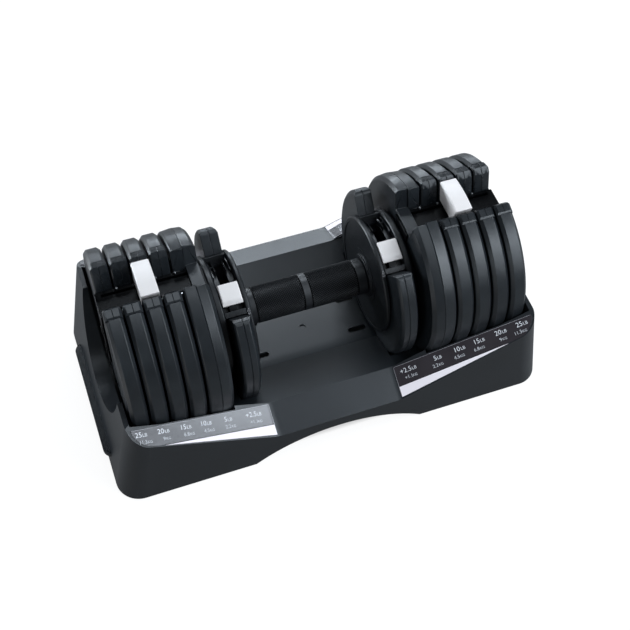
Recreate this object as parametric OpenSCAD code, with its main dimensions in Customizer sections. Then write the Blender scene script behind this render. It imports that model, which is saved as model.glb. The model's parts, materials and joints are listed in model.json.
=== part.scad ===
// Adjustable dumbbell standing in its moulded tray.
// X runs along the handle, Y from front to back, Z up; the origin is the middle of the tray's base.

/* [Handle] */
// Height of the handle axis above the ground
axis_z = 90; // [88:0.5:96]
// Length of the grip between the two flanges
grip_len = 112; // [100:1:130]
// Diameter of the knurled grip
grip_d = 32; // [28:0.5:36]
// Diameter of the steel tube inside the grip
tube_d = 20; // [16:0.5:22]
// Wall of the steel tube
tube_wall = 2.5; // [1.5:0.25:4]
// Diameter of the drum's flange and disc
drum_d = 105; // [98:1:110]
// Thickness of the flange beside the grip
flange_t = 4.4; // [3:0.2:6]
// Width of the drum between its flange and its outer disc
drum_w = 18; // [16:0.5:22]
// Thickness of the drum's outer disc
disc_t = 6.8; // [5:0.2:9]

/* [Plates] */
// Diameter of the thick plate and the thin plates
plate_d = 162.4; // [156:0.2:166]
// Centre spacing of the thin plates
pitch = 16; // [15.6:0.1:18]
// Thickness of a thin plate
thin_t = 14; // [12:0.2:14.4]
// Thickness of the thick plate that stays on the handle
thick_t = 21.2; // [18:0.2:24]
// Bevel on the rim of a thin plate
rim_bevel = 2.6; // [1:0.2:4]
// Draft of the thick plate's rim, from its seam to each face
thick_draft = 0.8; // [0.2:0.1:1.4]
// Number of thin plates on each head
thin_n = 4; // [4:1:4]
// Half width of the plates' slot at the rim
slot_top = 17; // [15:0.5:20]
// Half width of the plates' slot beside the beam
slot_low = 12.6; // [11:0.2:14]
// Chamfer on the slot's edges at a face
slot_chamfer = 1.4; // [0.6:0.1:2]
// Half width of the pocket that holds a slot insert
insert_half = 28.6; // [24:0.2:32]
// Diameter of the small add-on plate
addon_d = 148; // [140:1:152]
// Thickness of the small add-on plate, both layers
addon_t = 15.4; // [12:0.2:17]
// Half width of the add-on plate's slot
addon_slot = 27; // [24:0.5:30]
// Angle from the top to an add-on plate's arm
addon_open = 40; // [37:1:46]
// Rounding of an arm's tip, seen along the handle
addon_tip = 5; // [1:0.5:8]

/* [Beam and selectors] */
// Height of the beam's floor above the handle axis
floor_h = 58; // [54:0.5:62]
// Thickness of the beam's top flange
beam_flange = 8; // [6:0.5:10]
// Thickness of the beam's web
web_t = 13.8; // [11:0.2:15]
// Width of a selector along the beam
selector_w = 14.8; // [12:0.2:15]
// Thickness of a selector's legs
leg_t = 1.9; // [1.5:0.1:2.2]
// Height of the lifting lugs in the slot inserts, above the handle axis
lug_h = 41; // [36:0.5:44]
// Angle that the small selector's cap covers
cap_angle = 20; // [16:1:24]
// Angle from the top to each end of the small selector's window
window_angle = 34; // [31:0.5:36]
// Angle from the top to the front edge of the small selector's cap
button_front = 28.5; // [26:0.5:30]

/* [Tray] */
// Length of the tray at its base
tray_l = 392; // [384:1:410]
// Width of the tray at its base
tray_w = 202; // [198:1:216]
// Height of the tray's end walls
tray_h = 95; // [90:0.5:100]
// Radius of the tray's corners
corner_r = 21; // [14:1:28]
// Inward lean of an end wall over its height
end_draft = 17; // [8:0.5:19]
// Wall of the moulding
wall = 3; // [2:0.25:4]
// Height of the middle panel's inner edge
panel_z = 50; // [46:0.5:54]
// Distance from the centre line to the middle panel's inner edge
panel_y = 73.5; // [70:0.5:77]
// Half length of the middle panel
panel_x = 56; // [50:1:58]
// Tilt of the panels towards the front and the back
panel_tilt = 25.5; // [18:0.5:30]
// Rise of the label panels towards the ends
panel_rise = 22.3; // [18:0.1:25]
// Height of the well's floor under the grip
well_z = 34.5; // [33:0.5:37]
// Half width of that floor
well_y = 30; // [22:1:40]
// Height of the arch under the front and back walls
arch_h = 26; // [18:0.5:28]
// Half length of that arch
arch_x = 77.5; // [60:0.5:90]
// Radius of the scoop in an end wall
scoop_r = 60; // [50:1:64]
// Width of the pale wedges in front of the label strips
wedge_w = 8.3; // [6:0.1:12]
// Radius where the middle panels turn up into the ramps
ramp_r = 18; // [8:1:30]

/* [Fits] */
// Gap between a plate and the tray, and between pieces that slide
gap = 0.4; // [0.3:0.05:0.6]
// Gap between pieces that are fixed to each other
seat = 0.1; // [0.05:0.01:0.2]
// Radial clearance of the rotor on the tube
run = 0.06; // [0.02:0.01:0.1]

/* [Hidden] */
$fn = 96;

plastic = [0.13, 0.14, 0.16];
plate_grey = [0.2, 0.21, 0.24];
insert_grey = [0.24, 0.25, 0.28];
gloss_black = [0.03, 0.03, 0.04];
silver = [0.85, 0.86, 0.88];
steel = [0.55, 0.56, 0.6];

eps = 0.01;
// Reach of a cutting block that passes right through
far = 300;
drum_r = drum_d / 2;
plate_r = plate_d / 2;
addon_r = addon_d / 2;
tube_r = tube_d / 2;

// Places along the handle, from the middle outwards
flange_x = grip_len / 2;
drum_x = flange_x + flange_t;
disc_x = drum_x + drum_w;
beam_x = disc_x + disc_t;
addon_x = drum_x + 0.6;
thick_x = beam_x + 1.6;
plate_gap = pitch - thin_t;
thick_mid = thick_x + thick_t / 2;
thin_x = thick_x + thick_t + plate_gap;
beam_end = thin_x + (thin_n - 1) * pitch + thin_t;
end_cap_t = 1.6;
well_end = beam_end + end_cap_t + 1.4;

// Slots of the big plates
floor_z = axis_z + floor_h;
slot_round_z = axis_z - 14;
slot_rim_z = axis_z + 74.5;
slot_flare = (slot_top - slot_low) / (slot_rim_z - floor_z);
slot_draft = 5;
thick_mouth_z = slot_rim_z + 2.4;
plate_corner = 1;
insert_corner = 1.8;
insert_bevel = 2;
seam_bevel = 0.3;
insert_t = thin_t + 0.4;
insert_r = plate_r + 0.5;
lug_t = 4;
lug_in = 3;
lug_z = axis_z + lug_h;

// Lifting tongues that carry the next plate inwards
tongue_w = 20;
tongue_l = plate_gap + 5.4;
tongue_h = 6;
tongue_core = 4;
tongue_z = slot_round_z - insert_half - tongue_core - tongue_h;
channel_l = 6;

// Selectors
rest_plate = 1;
selector_x = thin_x + rest_plate * pitch + thin_t / 2;
selector_out = thin_x + (thin_n - 1) * pitch + thin_t / 2;
fork_w = 6.4;
foot_h = 4;
cap_gap = 1;
step_h = 2.5;
step_out = 1.8;
cap_bottom = floor_z + step_h + gap;
leg_y = web_t / 2 + gap;
slit_w = leg_t + 2 * gap;
button_r = drum_r + 1.3;
button_t = 4;
facet_angle = 3.4;
facet_tilt = 24;
window_r = drum_r - 9;
tongue_r = window_r + 1;
tongue_t = 4.4;
rotor_w = 7;
rotor_x = drum_x + (drum_w - rotor_w) / 2;

// Panels of the tray
rise_x = tan(panel_rise);
inner_end_y = plate_r + 4.3;
panel_end = tray_l / 2 - 20;

// Tray details
base_z = 0.8;
slot_x = 46;
slot_y = 17;
slot_r = 2.5;
slot_l = 17;
foot_x = tray_l / 2 - 26;
foot_y = tray_w / 2 - 24;
foot_r = 10;
foot_t = 3;
post_r = 13;
ledge_out = 3;
ledge_in = 12;
ledge_half = 60;
ledge_z = 11;
ledge_t = 6;
rib_t = plate_gap - 2 * gap + seat;
label_t = 0.6;
edge_in = 2.2;
label_in = panel_x + 1;
label_out = panel_end - 1;
strip_low = tray_w / 2 - edge_in - wedge_w;
strip_run = 0.084;

// Handle details
collar_l = 1.6;
screw_h = [-4, 24];
screw_r = 2.5;
pin_r = 0.85;
pin_h = 4.4;
pin_back = 3;
pin_y = 10.9;

// Turns a profile's axis from Z to the handle axis; angle 0 is straight up and grows to the front
module on_axis() translate([0, 0, axis_z]) rotate([180, -90, 0]) children();

// A flat outline, drawn as seen from +X (right is back, up is up), extruded from x0 to x1
module along_x(x0, x1) translate([x0, 0, 0]) rotate([90, 0, 90]) linear_extrude(x1 - x0) children();

module side(left) mirror([left ? 1 : 0, 0, 0]) children();

// Disc about the handle axis from x0 to x1 with a bevel at each face; d0 and d1 draft its rim
module bevel_disc(r, x0, x1, b0, b1, d0 = 0, d1 = 0) on_axis() rotate_extrude($fn = 180)
  polygon([[0, x0], [r - d0 - b0, x0], [r - d0, x0 + b0], [r - d1, x1 - b1], [r - d1 - b1, x1], [0, x1]]);

module ring_sector(r0, r1, x0, x1, a0, a1) on_axis() rotate([0, 0, a0])
  rotate_extrude(angle = a1 - a0, $fn = 180) translate([r0, x0]) square([r1 - r0, x1 - x0]);

module on_tube(x0, x1, r) translate([x0, 0, axis_z]) rotate([0, 90, 0]) cylinder(r = r, h = x1 - x0);

function slot_half(z) = slot_low + slot_flare * (z - floor_z);

// Slot of the thick and thin plates: straight beside the beam and flared above its floor
module slot_outline(c) {
  top_z = axis_z + plate_r + 8;
  top_y = slot_half(top_z) + c;
  low = slot_low + c;
  polygon([[-low, slot_round_z], [low, slot_round_z], [low, floor_z], [top_y, top_z],
    [-top_y, top_z], [-low, floor_z]]);
  translate([0, slot_round_z]) circle(r = low);
}

// Mouth of a slot, which opens at 45 degrees from height z to the rim
module slot_mouth(z, c) {
  y = slot_half(z) + c;
  reach = axis_z + plate_r + 8 - z;
  polygon([[-y, z], [y, z], [y + reach, z + reach], [-y - reach, z + reach]]);
}

// Chamfer along a wall that starts at the given place and leans outwards from the upright
module edge_cut(x, y, z, lean, l) translate([x, y, z]) rotate([-lean, 0, 0]) rotate([0, 0, 41])
  translate([-slot_chamfer / sqrt(2), -slot_chamfer / sqrt(2), -0.5])
  cube([slot_chamfer * sqrt(2), slot_chamfer * sqrt(2), l + 1]);

// Chamfers on a slot's edges at the face x1, and the draft of its walls from the seam x0 to that face
module slot_edges(x0, x1, z0, mouth_z, c) for (s = [0, 1]) mirror([0, s, 0]) {
  lean = atan(slot_flare);
  wall_l = (mouth_z - z0) / cos(lean);
  block = [2 * thick_t, slot_low / 2, wall_l + 1.2];
  edge_cut(x1, slot_half(z0) + c, z0, lean, wall_l);
  edge_cut(x1, slot_half(mouth_z) + c, mouth_z, 45, plate_r / 6);
  translate([x0, slot_half(z0) + c - 0.06, z0]) rotate([-lean, 0, 0])
    rotate([0, 0, x1 > x0 ? slot_draft : -slot_draft])
    translate([-block[0] / 2, -block[1], -0.7]) cube(block);
}

// V-groove between an insert and its pocket, cut along the rim of radius r
module corner_cut(r, y, side_l) for (s = [-1, 1]) translate([s * y, axis_z + sqrt(r * r - y * y)])
  rotate(45) square(side_l, center = true);

// ---- Tray
module plan_outline(lx, ly, r) {
  square([lx - 2 * r, ly], center = true);
  square([lx, ly - 2 * r], center = true);
  for (sx = [-1, 1], sy = [-1, 1]) translate([sx * (lx / 2 - r), sy * (ly / 2 - r)]) circle(r = r);
}

module draft_block(i, z0) hull() {
  translate([0, 0, z0]) linear_extrude(eps)
    plan_outline(tray_l - 2 * i, tray_w - 2 * i, corner_r - i, $fn = 64);
  translate([0, 0, tray_h - i]) linear_extrude(eps)
    plan_outline(tray_l - 2 * end_draft - 2 * i, tray_w - 4 - 2 * i, corner_r - i - 3, $fn = 64);
}

// Space under the panels of one side: level in the middle and rising to both ends
module panel_form(i, s) {
  k = rise_x * cos(panel_tilt);
  slope = atan(k);
  reach = tray_l / 2 + 10;
  turn_x = panel_x - ramp_r * tan(slope / 2);
  bend = [for (n = [0:4]) [turn_x + ramp_r * sin(slope * n / 4), ramp_r * (1 - cos(slope * n / 4))]];
  translate([0, s * panel_y, panel_z]) rotate([-s * panel_tilt, 0, 0]) translate([0, far / 2, -i])
    rotate([90, 0, 0]) linear_extrude(far) polygon(concat([[-reach, -far / 2], [reach, -far / 2],
      [reach, k * (reach - panel_x)]], [for (n = [4:-1:0]) bend[n]],
      [for (p = bend) [-p[0], p[1]]], [[-reach, k * (reach - panel_x)]]));
}

module half_space(s) translate([-far, s > 0 ? 0 : -far, -20]) cube([2 * far, far, far]);

module tray_form(i, z0) intersection() {
  draft_block(i, z0);
  union() for (s = [-1, 1]) intersection() {
    panel_form(i, s);
    half_space(s);
  }
}

// Pockets for one head's plates, and the scoop in its end wall
module head_well(g) {
  lift = 1.7;
  rise = 2;
  clear = gap + seat;
  for (p = [[addon_x - clear, addon_x + addon_t + clear, addon_r], [thick_x - clear, well_end, plate_r]])
    intersection() {
      along_x(p[0] - g, p[1] + g) union() {
        translate([0, axis_z + lift]) circle(r = p[2] + rise + g, $fn = 180);
        translate([-p[2] - rise - g, axis_z + lift]) square([2 * (p[2] + rise + g), 100]);
      }
      translate([0, 0, -20]) linear_extrude(300) polygon([[panel_x - 20, panel_y - 2 + g],
        [panel_x, panel_y + g], [panel_end, inner_end_y + g], [panel_end + 30, inner_end_y + g],
        [panel_end + 30, -inner_end_y - g], [panel_end, -inner_end_y - g],
        [panel_x, -panel_y - g], [panel_x - 20, 2 - panel_y - g]]);
    }
  along_x(well_end - 2, tray_l / 2 + 20) union() {
    translate([0, axis_z + 10]) circle(r = scoop_r + g);
    translate([-scoop_r - g, axis_z + 10]) square([2 * (scoop_r + g), 60]);
  }
}

// Shallow valley under the grip, open to both heads
module valley(g) along_x(-thick_x - g, thick_x + g) polygon([[-well_y, well_z - g], [well_y, well_z - g],
  [panel_y, panel_z - g], [panel_y + g, panel_z], [panel_y + g, 160], [-panel_y - g, 160],
  [-panel_y - g, panel_z], [-panel_y, panel_z - g]]);

module wells(g) {
  valley(g);
  for (left = [false, true]) side(left) head_well(g);
}

module floor_slots() for (sx = [-1, 1], sy = [-1, 1]) translate([sx * slot_x, sy * slot_y, well_z - 12]) {
  for (e = [-1, 1]) translate([e * (slot_l / 2 - slot_r), 0, 0]) cylinder(r = slot_r, h = 20, $fn = 48);
  translate([0, 0, 10]) cube([slot_l - 2 * slot_r, 2 * slot_r, 20], center = true);
}

// Thin upright ribs that keep the thin plates apart
module plate_ribs() for (i = [0:thin_n - 1]) intersection() {
  along_x(thin_x - plate_gap / 2 + i * pitch - rib_t / 2, thin_x - plate_gap / 2 + i * pitch + rib_t / 2)
    difference() {
      translate([0, axis_z]) circle(r = plate_r + 3, $fn = 120);
      translate([0, axis_z]) circle(r = plate_r - 14, $fn = 120);
    }
  translate([0, -60, 0]) cube([300, 120, axis_z - plate_r + 14]);
}

module ledge_plan(grow) {
  x0 = tray_l / 2 - ledge_in;
  w = ledge_in + ledge_out + grow;
  r = 9;
  translate([x0, -ledge_half - grow]) square([w - r, 2 * (ledge_half + grow)]);
  translate([x0, -ledge_half - grow + r]) square([w, 2 * (ledge_half + grow - r)]);
  for (s = [-1, 1]) translate([x0 + w - r, s * (ledge_half + grow - r)]) circle(r = r, $fn = 48);
}

module tray() color(plastic) difference() {
  union() {
    difference() {
      tray_form(0, base_z);
      wells(0);
      difference() {
        tray_form(wall, -6);
        wells(wall);
        for (sx = [-1, 1], sy = [-1, 1]) translate([sx * foot_x, sy * foot_y, 0])
          cylinder(r = post_r, h = tray_h, $fn = 48);
        for (left = [false, true]) side(left) translate([tray_l / 2 - ledge_in - wall, -tray_w / 2, -6])
          cube([60, tray_w, ledge_z + ledge_t + 6]);
      }
    }
    for (left = [false, true]) side(left) {
      translate([0, 0, ledge_z]) linear_extrude(ledge_t - 1.5) ledge_plan(0);
      translate([0, 0, ledge_z + ledge_t - 1.5 - eps]) linear_extrude(1.5) ledge_plan(-1.5);
      plate_ribs();
    }
  }
  // Arch under the front and the back wall
  arch_r = (arch_x * arch_x + arch_h * arch_h) / (2 * arch_h);
  translate([0, tray_w / 2 + 20, arch_h - arch_r]) rotate([90, 0, 0])
    cylinder(r = arch_r, h = tray_w + 40, $fn = 240);
  floor_slots();
  // Dimple in the middle of the floor
  translate([0, 0, well_z - 1]) cylinder(r = 3, h = 4, $fn = 48);
  // Hand recess under each end ledge
  for (left = [false, true]) side(left) translate([tray_l / 2 - ledge_in, -ledge_half + 8, -1])
    cube([40, 2 * ledge_half - 16, ledge_z + 1]);
  for (sx = [-1, 1], sy = [-1, 1]) translate([sx * foot_x, sy * foot_y, -1])
    cylinder(r = foot_r + seat, h = foot_t + 1 + seat, $fn = 48);
}

module rubber_feet() color(gloss_black) for (sx = [-1, 1], sy = [-1, 1])
  translate([sx * foot_x, sy * foot_y, 0]) cylinder(r = foot_r, h = foot_t, $fn = 48);

// Skin of the given thickness lying on the panels, cut to a plan outline
module panel_skin(t, sx, sy) intersection() {
  difference() {
    panel_form(-t, sy);
    panel_form(0, sy);
  }
  translate([0, 0, panel_z - 30]) linear_extrude(150) mirror([sx < 0 ? 1 : 0, 0]) mirror([0, sy > 0 ? 0 : 1])
    children();
}

function low_edge(x) = strip_low + strip_run * (x - label_in);

module panel_plan() plan_outline(tray_l - 2 * end_draft - 6, tray_w - 2 * edge_in, corner_r - 6);

module strip_outline() intersection() {
  polygon([[label_in, panel_y + 1], [label_out, inner_end_y + 1], [label_out, low_edge(label_out)],
    [label_in, strip_low]]);
  panel_plan();
}

module wedge_outline() intersection() {
  polygon([[label_in, strip_low + gap], [label_out, low_edge(label_out) + gap], [label_out, tray_w / 2],
    [label_in, tray_w / 2]]);
  panel_plan();
}

module label(sx, sy) color([0.22, 0.21, 0.24]) panel_skin(label_t, sx, sy) strip_outline();
module wedge_trims() color([0.9, 0.9, 0.95]) for (sx = [-1, 1], sy = [-1, 1])
  panel_skin(label_t, sx, sy) wedge_outline();

// ---- Handle
module handle_tube() color(steel) difference() {
  on_tube(-beam_x + 2, beam_x - 2, tube_r);
  on_tube(-beam_x + 1, beam_x - 1, tube_r - tube_wall);
}

module grip_sleeve() color(gloss_black) on_axis() {
  end = flange_x - collar_l - seat;
  bore = tube_r + seat;
  neck = grip_d / 2 - 0.4;
  difference() {
    union() {
      for (s = [-1, 1]) mirror([0, 0, s < 0 ? 1 : 0]) rotate_extrude() polygon([[0, 0],
        [grip_d / 2 - 0.6, 0], [grip_d / 2 - 0.6, 3], [grip_d / 2, 3.6], [grip_d / 2, end - 9],
        [neck, end - 8.4], [neck, end - 1], [neck - 1, end], [0, end]]);
    }
    translate([0, 0, -end - 1]) cylinder(r = bore, h = 2 * end + 2);
  }
}

module inner_flange() color(plastic) difference() {
  union() {
    bevel_disc(drum_r, flange_x, drum_x - seat, 1.2, 0.8);
    on_tube(flange_x - collar_l, flange_x + eps, grip_d / 2 + 3);
  }
  on_tube(flange_x - collar_l - 1, drum_x + 1, tube_r + seat);
  // Shallow recess in the flange's face, inside its bright rim
  on_axis() rotate_extrude() translate([grip_d / 2 + 8, flange_x - 1])
    square([drum_r - grip_d / 2 - 12, 1.6]);
}

// Core of the drum: a shoulder at the top, and a neck that fits the add-on plate's slot
module drum_housing() color(plastic) difference() {
  union() {
    ring_sector(tube_r + 2, drum_r - 0.6, drum_x, disc_x - seat, -addon_open + 1, addon_open - 1);
    along_x(drum_x, disc_x - seat) union() {
      translate([0, axis_z]) circle(r = addon_slot - gap);
      translate([-addon_slot + gap, axis_z]) square([2 * (addon_slot - gap), addon_slot + 3]);
    }
  }
  on_tube(drum_x - 1, disc_x + 1, tube_r + seat);
  ring_sector(window_r, drum_r + 4, drum_x - 1, disc_x + 1, -window_angle, window_angle);
  // Room for the rotor, and the way out for its tongue
  ring_sector(tube_r - 1, window_r + 1, rotor_x - gap, rotor_x + rotor_w + gap, -window_angle, window_angle);
  on_tube(rotor_x - gap, rotor_x + rotor_w + gap, tube_r + 7);
  ring_sector(tongue_r - gap, tongue_r + tongue_t + gap, rotor_x - gap, rotor_x + rotor_w + gap, 0,
    addon_open + 4);
}

module outer_disc() color(plastic) difference() {
  bevel_disc(drum_r, disc_x, beam_x - seat, 1, 2);
  on_tube(disc_x - 1, beam_x + 1, tube_r + seat);
}

// ---- Add-on plate
module wedge_of(r, a) polygon([[0, 0], [-r * sin(a), r * cos(a)], [-r * sin(a), 2 * r], [r * sin(a), 2 * r],
  [r * sin(a), r * cos(a)]]);

// Rounds the tip of an arm, where its slot face meets the rim
module tip_cut() for (s = [0, 1]) mirror([s, 0]) translate([0, axis_z]) rotate(90 - addon_open)
  translate([sqrt((addon_r - addon_tip) * (addon_r - addon_tip) - addon_tip * addon_tip), -addon_tip])
    difference() {
      square(addon_tip + 4);
      circle(r = addon_tip, $fn = 64);
    }

module addon_layer(x0, x1) color(plate_grey) difference() {
  intersection() {
    children();
    along_x(x0 - 1, x1 + 1) difference() {
      translate([0, axis_z]) circle(r = addon_r + 1);
      translate([0, axis_z]) circle(r = addon_slot);
      translate([-addon_slot, axis_z]) square([2 * addon_slot, far]);
      translate([0, axis_z]) wedge_of(addon_r + 10, addon_open);
      tip_cut();
    }
  }
  ring_sector(tongue_r - 0.6, tongue_r + tongue_t + 0.6, rotor_x - 0.6, rotor_x + rotor_w + 0.6,
    addon_open - 6, addon_open + 9);
}

// The inner layer's rim meets its face in two bevels
module addon_inner() {
  x0 = addon_x;
  x1 = addon_x + addon_t / 2 - seat / 2;
  addon_layer(x0, x1) on_axis() rotate_extrude($fn = 180) polygon([[0, x0], [addon_r - 4.4, x0],
    [addon_r - 1.8, x0 + 1.2], [addon_r, x0 + 3], [addon_r, x1 - 0.5], [addon_r - 0.5, x1], [0, x1]]);
}

module addon_outer() {
  x0 = addon_x + addon_t / 2 + seat / 2;
  x1 = addon_x + addon_t;
  addon_layer(x0, x1) bevel_disc(addon_r, x0, x1, 0.5, 1.6);
}

// ---- Beam
module beam_outline(c) {
  translate([-slot_low + gap + c, floor_z - beam_flange + c])
    square([2 * (slot_low - gap - c), beam_flange - 2 * c]);
  translate([-web_t / 2 + c, slot_round_z]) square([web_t - 2 * c, floor_z - slot_round_z - beam_flange / 2]);
  translate([0, slot_round_z]) circle(r = web_t / 2 - c);
}

module beam() color(gloss_black) difference() {
  along_x(beam_x, beam_end) beam_outline(0);
  for (s = [-1, 1]) translate([thick_mid, s * (leg_y + leg_t / 2) - slit_w / 2, floor_z - beam_flange - 1])
    cube([selector_out + fork_w / 2 + gap - thick_mid, slit_w, beam_flange + 2]);
  pin_row(seat);
  for (h = screw_h) translate([beam_end - 12, 0, axis_z + h]) rotate([0, 90, 0])
    cylinder(r = screw_r + seat, h = 14, $fn = 32);
}

// Pins in the beam's lips that mark the places between the plates
module pin_row(c) for (i = [0:thin_n - 1], s = [-1, 1])
  translate([thin_x - pin_back + i * pitch, s * pin_y, floor_z - pin_h - c])
    cylinder(r = pin_r + c, h = 1.5 * pin_h, $fn = 32);

module detent_pins() color(steel) pin_row(0);

module beam_cap() color(gloss_black) difference() {
  along_x(beam_end + seat, beam_end + seat + end_cap_t) beam_outline(0.2);
  for (h = screw_h) translate([beam_end - 1, 0, axis_z + h]) rotate([0, 90, 0])
    cylinder(r = screw_r + seat, h = 10, $fn = 32);
}

module head_screws() for (h = screw_h) translate([0, 0, axis_z + h]) rotate([0, 90, 0]) difference() {
  union() {
    translate([0, 0, beam_end - 11]) cylinder(r = screw_r, h = 11 + seat + end_cap_t, $fn = 32);
    translate([0, 0, beam_end + seat + end_cap_t]) cylinder(r = screw_r + 1.6, h = 0.8, $fn = 32);
  }
  translate([0, 0, beam_end + end_cap_t - 1]) cylinder(r = 1.6, h = 4, $fn = 6);
}

module end_screws() color(steel) for (left = [false, true]) side(left) head_screws();

// ---- Thick plate
module thick_profile(x0, x1) along_x(x0 - 1, x1 + 1) difference() {
  translate([0, axis_z]) circle(r = plate_r + 1);
  children();
}

// Inner layer: its slot ends in a step just above the beam
module thick_inner() color(plate_grey) difference() {
  x1 = thick_mid - seat / 2;
  intersection() {
    bevel_disc(plate_r, thick_x, x1, 3, 0.4, thick_draft, 0);
    thick_profile(thick_x, x1) {
      intersection() {
        slot_outline(step_out);
        translate([-far / 2, floor_z + step_h]) square(far);
      }
      slot_mouth(thick_mouth_z, step_out);
      beam_outline(-seat);
    }
  }
  slot_edges(x1, thick_x, floor_z + step_h, thick_mouth_z, step_out);
}

module thick_outer() color(plate_grey) difference() {
  x0 = thick_mid + seat / 2;
  x1 = thick_x + thick_t;
  intersection() {
    bevel_disc(plate_r, x0, x1, 0.4, 1.4, 0, thick_draft);
    thick_profile(x0, x1) {
      slot_outline(gap);
      slot_mouth(thick_mouth_z, gap);
    }
  }
  slot_edges(x0, x1, floor_z, thick_mouth_z, gap);
  tongue_channel(x1);
}

// Channel in a plate's outer face, down which its neighbour's tongue leaves
module tongue_channel(face_x) translate([face_x - channel_l - gap, -tongue_w / 2 - gap, axis_z - plate_r - 2])
  cube([channel_l + gap + 1, tongue_w + 2 * gap, tongue_z + tongue_h + gap - axis_z + plate_r + 2]);

// ---- Thin plates and their slot inserts
module insert_pocket(c) {
  translate([-insert_half - c, slot_round_z]) square([2 * (insert_half + c), far]);
  translate([0, slot_round_z]) circle(r = insert_half + c);
}

module thin_plate(i) color(plate_grey) {
  x0 = thin_x + i * pitch;
  difference() {
    intersection() {
      bevel_disc(plate_r, x0, x0 + thin_t, rim_bevel, rim_bevel);
      along_x(x0 - 1, x0 + thin_t + 1) difference() {
        translate([0, axis_z]) circle(r = plate_r + 1);
        insert_pocket(seat);
        corner_cut(plate_r, insert_half, plate_corner);
      }
    }
    tongue_channel(x0 + thin_t);
  }
  translate([x0 - tongue_l, -tongue_w / 2, tongue_z]) cube([tongue_l + eps, tongue_w, tongue_h]);
}

// Half of an insert, from its seam to its face
module insert_half_shell(seam_x, face_x) difference() {
  x0 = min(seam_x, face_x);
  x1 = max(seam_x, face_x);
  inner = face_x < seam_x;
  intersection() {
    bevel_disc(insert_r, x0, x1, inner ? insert_bevel : seam_bevel, inner ? seam_bevel : insert_bevel);
    union() {
      along_x(x0 - 1, x1 + 1) difference() {
        insert_pocket(0);
        slot_outline(0);
        slot_mouth(slot_rim_z, 0);
        corner_cut(insert_r, insert_half, insert_corner);
      }
      for (s = [-1, 1]) translate([x0 - 1, s * (slot_low - lug_in / 2 + eps) - lug_in / 2, lug_z])
        cube([x1 - x0 + 2, lug_in, lug_t]);
    }
  }
  slot_edges(seam_x, face_x, floor_z, slot_rim_z, 0);
}

module thin_insert(i) color(insert_grey) {
  xm = thin_x + i * pitch + thin_t / 2;
  for (s = [-1, 1]) insert_half_shell(xm + s * seat / 2, xm + s * insert_t / 2);
}

// ---- Big selector
module selector_cap() color(silver) intersection() {
  bevel_disc(plate_r - 0.6, selector_x - selector_w / 2, selector_x + selector_w / 2, 0.8, 0.8);
  along_x(selector_x - selector_w, selector_x + selector_w) intersection() {
    slot_outline(-cap_gap);
    translate([-far / 2, cap_bottom]) square(far);
  }
}

module selector_fork() color(gloss_black) for (s = [-1, 1]) {
  top = cap_bottom - seat / 2;
  translate([selector_x - fork_w / 2, s * (leg_y + leg_t / 2) - leg_t / 2, lug_z - gap - foot_h])
    cube([fork_w, leg_t, top - lug_z + gap + foot_h]);
  translate([selector_x - fork_w / 2, s > 0 ? leg_y : -slot_low + gap, lug_z - gap - foot_h])
    cube([fork_w, slot_low - gap - leg_y, foot_h]);
}

// ---- Small selector
module addon_button() color(silver) {
  x0 = drum_x + gap;
  x1 = disc_x - gap;
  c = 0.8;
  difference() {
    on_axis() rotate([0, 0, button_front - cap_angle]) rotate_extrude(angle = cap_angle, $fn = 180)
      polygon([[button_r - button_t, x0], [button_r - c, x0], [button_r, x0 + c], [button_r, x1 - c],
        [button_r - c, x1], [button_r - button_t, x1]]);
    // Facet along the front edge, for the finger
    on_axis() rotate([0, 0, button_front - facet_angle]) translate([button_r, 0, drum_x - 1])
      rotate([0, 0, facet_tilt]) cube([8, 12, drum_w + 2]);
  }
  difference() {
    ring_sector(window_r + 1, button_r - 3, x0 + 2, x1 - 2, button_front - 2.4, button_front);
    ring_sector(window_r, tongue_r + tongue_t + gap, rotor_x - gap, rotor_x + rotor_w + gap,
      button_front - 4, button_front + 2);
  }
}

module latch_rotor() color(gloss_black) {
  difference() {
    union() {
      on_tube(rotor_x, rotor_x + rotor_w, tube_r + 6);
      ring_sector(tube_r + 4, button_r - button_t - seat, rotor_x, rotor_x + rotor_w,
        button_front - cap_angle + 3, button_front - 4);
    }
    on_tube(rotor_x - 1, rotor_x + rotor_w + 1, tube_r + run);
  }
  ring_sector(tongue_r, tongue_r + tongue_t, rotor_x, rotor_x + rotor_w, button_front - 8, addon_open + 7);
}

tray();
rubber_feet();
label(-1, -1);  // label_front_left
label(1, -1);  // label_front_right
label(-1, 1);  // label_back_left
label(1, 1);  // label_back_right
wedge_trims();
handle_tube();
grip_sleeve();
side(true) inner_flange();  // inner_flange_left
side(false) inner_flange();  // inner_flange_right
side(true) drum_housing();  // drum_housing_left
side(false) drum_housing();  // drum_housing_right
side(true) outer_disc();  // outer_disc_left
side(false) outer_disc();  // outer_disc_right
side(true) addon_inner();  // addon_inner_left
side(false) addon_inner();  // addon_inner_right
side(true) addon_outer();  // addon_outer_left
side(false) addon_outer();  // addon_outer_right
side(true) beam();  // beam_left
side(false) beam();  // beam_right
side(true) detent_pins();  // detent_pins_left
side(false) detent_pins();  // detent_pins_right
side(true) beam_cap();  // beam_cap_left
side(false) beam_cap();  // beam_cap_right
end_screws();
side(true) thick_inner();  // thick_inner_left
side(false) thick_inner();  // thick_inner_right
side(true) thick_outer();  // thick_outer_left
side(false) thick_outer();  // thick_outer_right
side(true) thin_plate(0);  // plate_10_left
side(false) thin_plate(0);  // plate_10_right
side(true) thin_insert(0);  // insert_10_left
side(false) thin_insert(0);  // insert_10_right
side(true) thin_plate(1);  // plate_15_left
side(false) thin_plate(1);  // plate_15_right
side(true) thin_insert(1);  // insert_15_left
side(false) thin_insert(1);  // insert_15_right
side(true) thin_plate(2);  // plate_20_left
side(false) thin_plate(2);  // plate_20_right
side(true) thin_insert(2);  // insert_20_left
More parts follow.
